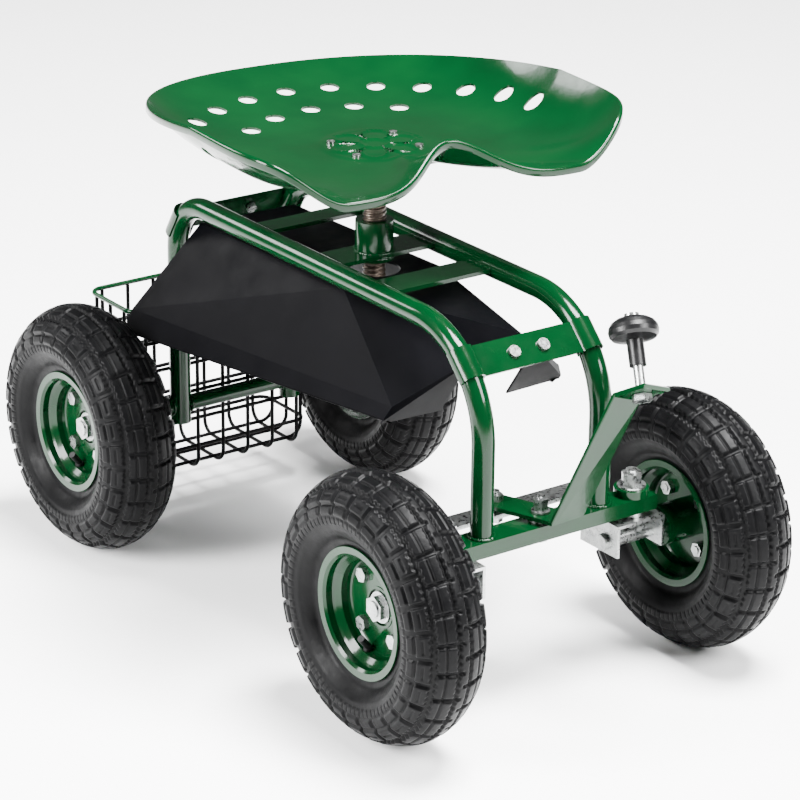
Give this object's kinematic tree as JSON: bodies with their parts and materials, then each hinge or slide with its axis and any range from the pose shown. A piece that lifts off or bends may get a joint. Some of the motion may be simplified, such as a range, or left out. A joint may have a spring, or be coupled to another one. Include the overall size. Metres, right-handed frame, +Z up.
{
  "type": "rolling garden seat cart",
  "caption": "Low four-wheeled garden seat on pneumatic tyres, with a turning tractor seat, lever steering, a tool tray and a wire basket.",
  "frame": {"origin": "centre of the box that holds the cart, on the ground under it, midway between the axles", "axes": "+Z up, -Y towards the steered wheels, +X to the rider's left"},
  "size_m": [0.4468, 0.79, 0.521],
  "materials": {
    "green_paint": "gloss powder coat",
    "zinc": "bright zinc plate",
    "black_wire": "semi-gloss black coating",
    "black_sheet": "satin black coating",
    "black_plastic": "moulded, slightly glossy",
    "dark_screw": "oiled dark steel",
    "tyre_rubber": "matt tread rubber",
    "black_rubber": "smooth butyl rubber"
  },
  "bodies": {
    "frame": {"rail_left": "green_paint", "rail_right": "green_paint", "front_crossbar": "green_paint", "kingpin_bosses": "green_paint", "rear_axle_tube": "green_paint", "rear_axle_rod": "zinc", "rear_axle_hardware": "zinc", "seat_cross_plate": "green_paint", "front_cross_flat": "green_paint", "rear_cross_flat": "green_paint", "seat_collar": "green_paint", "front_strap": "green_paint", "rear_strap": "green_paint", "strap_screws": "zinc", "tray": "black_sheet", "basket_rim": "green_paint", "basket_floor": "black_wire", "basket_front": "black_wire", "basket_rear": "black_wire", "basket_end_left": "black_wire", "basket_end_right": "black_wire", "basket_brackets": "green_paint", "kingpin_bolts": "zinc", "kingpin_nuts": "zinc", "steering_pivot_bolt": "zinc"},
    "lever": {"steering_lever": "green_paint", "lever_tie_bolt": "zinc", "knob_stem": "zinc"},
    "knob": {"knob": "black_plastic"},
    "tie_rod": {"tie_rod": "zinc"},
    "knuckle_left": {"knuckle_left": "zinc", "knuckle_bolt_left": "zinc", "stub_axle_left": "zinc"},
    "knuckle_right": {"knuckle_right": "zinc", "knuckle_bolt_right": "zinc", "stub_axle_right": "zinc"},
    "screw": {"seat_screw": "dark_screw"},
    "seat": {"seat_bracket": "green_paint", "seat_pan": "green_paint", "seat_bolts": "zinc"},
    "wheel_front_left": {"tyre_front_left": "tyre_rubber", "tube_front_left": "black_rubber", "rim_front_left": "green_paint", "hub_front_left": "green_paint", "rim_bolts_front_left": "zinc"},
    "wheel_front_right": {"tyre_front_right": "tyre_rubber", "tube_front_right": "black_rubber", "rim_front_right": "green_paint", "hub_front_right": "green_paint", "rim_bolts_front_right": "zinc"},
    "wheel_rear_left": {"tyre_rear_left": "tyre_rubber", "tube_rear_left": "black_rubber", "rim_rear_left": "green_paint", "hub_rear_left": "green_paint", "rim_bolts_rear_left": "zinc"},
    "wheel_rear_right": {"tyre_rear_right": "tyre_rubber", "tube_rear_right": "black_rubber", "rim_rear_right": "green_paint", "hub_rear_right": "green_paint", "rim_bolts_rear_right": "zinc"}
  },
  "joints": [
    {"name": "steering", "type": "hinge", "parent": "frame", "child": "lever", "pos_m": [0, -0.265, 0.178], "axis": [0, 0, 1], "range_deg": [-23, 23]},
    {"name": "left_kingpin", "type": "hinge", "parent": "frame", "child": "knuckle_left", "pos_m": [0.11, -0.265, 0.15], "axis": [0, 0, 1], "range_deg": [-23, 23]},
    {"name": "right_kingpin", "type": "hinge", "parent": "frame", "child": "knuckle_right", "pos_m": [-0.11, -0.265, 0.15], "axis": [0, 0, 1], "range_deg": [-23, 23]},
    {"name": "tie_rod_pivot", "type": "hinge", "parent": "lever", "child": "tie_rod", "pos_m": [-0.018, -0.21835, 0.168], "axis": [0, 0, 1], "range_deg": [-23, 23]},
    {"name": "knob_spin", "type": "hinge", "parent": "lever", "child": "knob", "pos_m": [0.0625, -0.33, 0.308], "axis": [0.2507, 0.5416, 0.8024], "continuous": true},
    {"name": "seat_height", "type": "slide", "parent": "frame", "child": "screw", "axis": [0, 0, 1], "range_m": [-0.03, 0.03]},
    {"name": "seat_turn", "type": "hinge", "parent": "screw", "child": "seat", "pos_m": [0, 0.0085, 0.447], "axis": [0, 0, 1], "range_deg": [-2160, 2160]},
    {"name": "wheel_spin_front_left", "type": "hinge", "parent": "knuckle_left", "child": "wheel_front_left", "pos_m": [0.182, -0.265, 0.13], "axis": [1, 0, 0], "continuous": true},
    {"name": "wheel_spin_front_right", "type": "hinge", "parent": "knuckle_right", "child": "wheel_front_right", "pos_m": [-0.182, -0.265, 0.13], "axis": [1, 0, 0], "continuous": true},
    {"name": "wheel_spin_rear_left", "type": "hinge", "parent": "frame", "child": "wheel_rear_left", "pos_m": [0.179, 0.265, 0.13], "axis": [1, 0, 0], "continuous": true},
    {"name": "wheel_spin_rear_right", "type": "hinge", "parent": "frame", "child": "wheel_rear_right", "pos_m": [-0.179, 0.265, 0.13], "axis": [1, 0, 0], "continuous": true}
  ],
  "couplings": [
    {"joint": "left_kingpin", "follows": "steering", "ratio": 1},
    {"joint": "right_kingpin", "follows": "steering", "ratio": 1},
    {"joint": "tie_rod_pivot", "follows": "steering", "ratio": -1},
    {"joint": "seat_height", "follows": "seat_turn", "m_per_rad": 0.00079577}
  ]
}
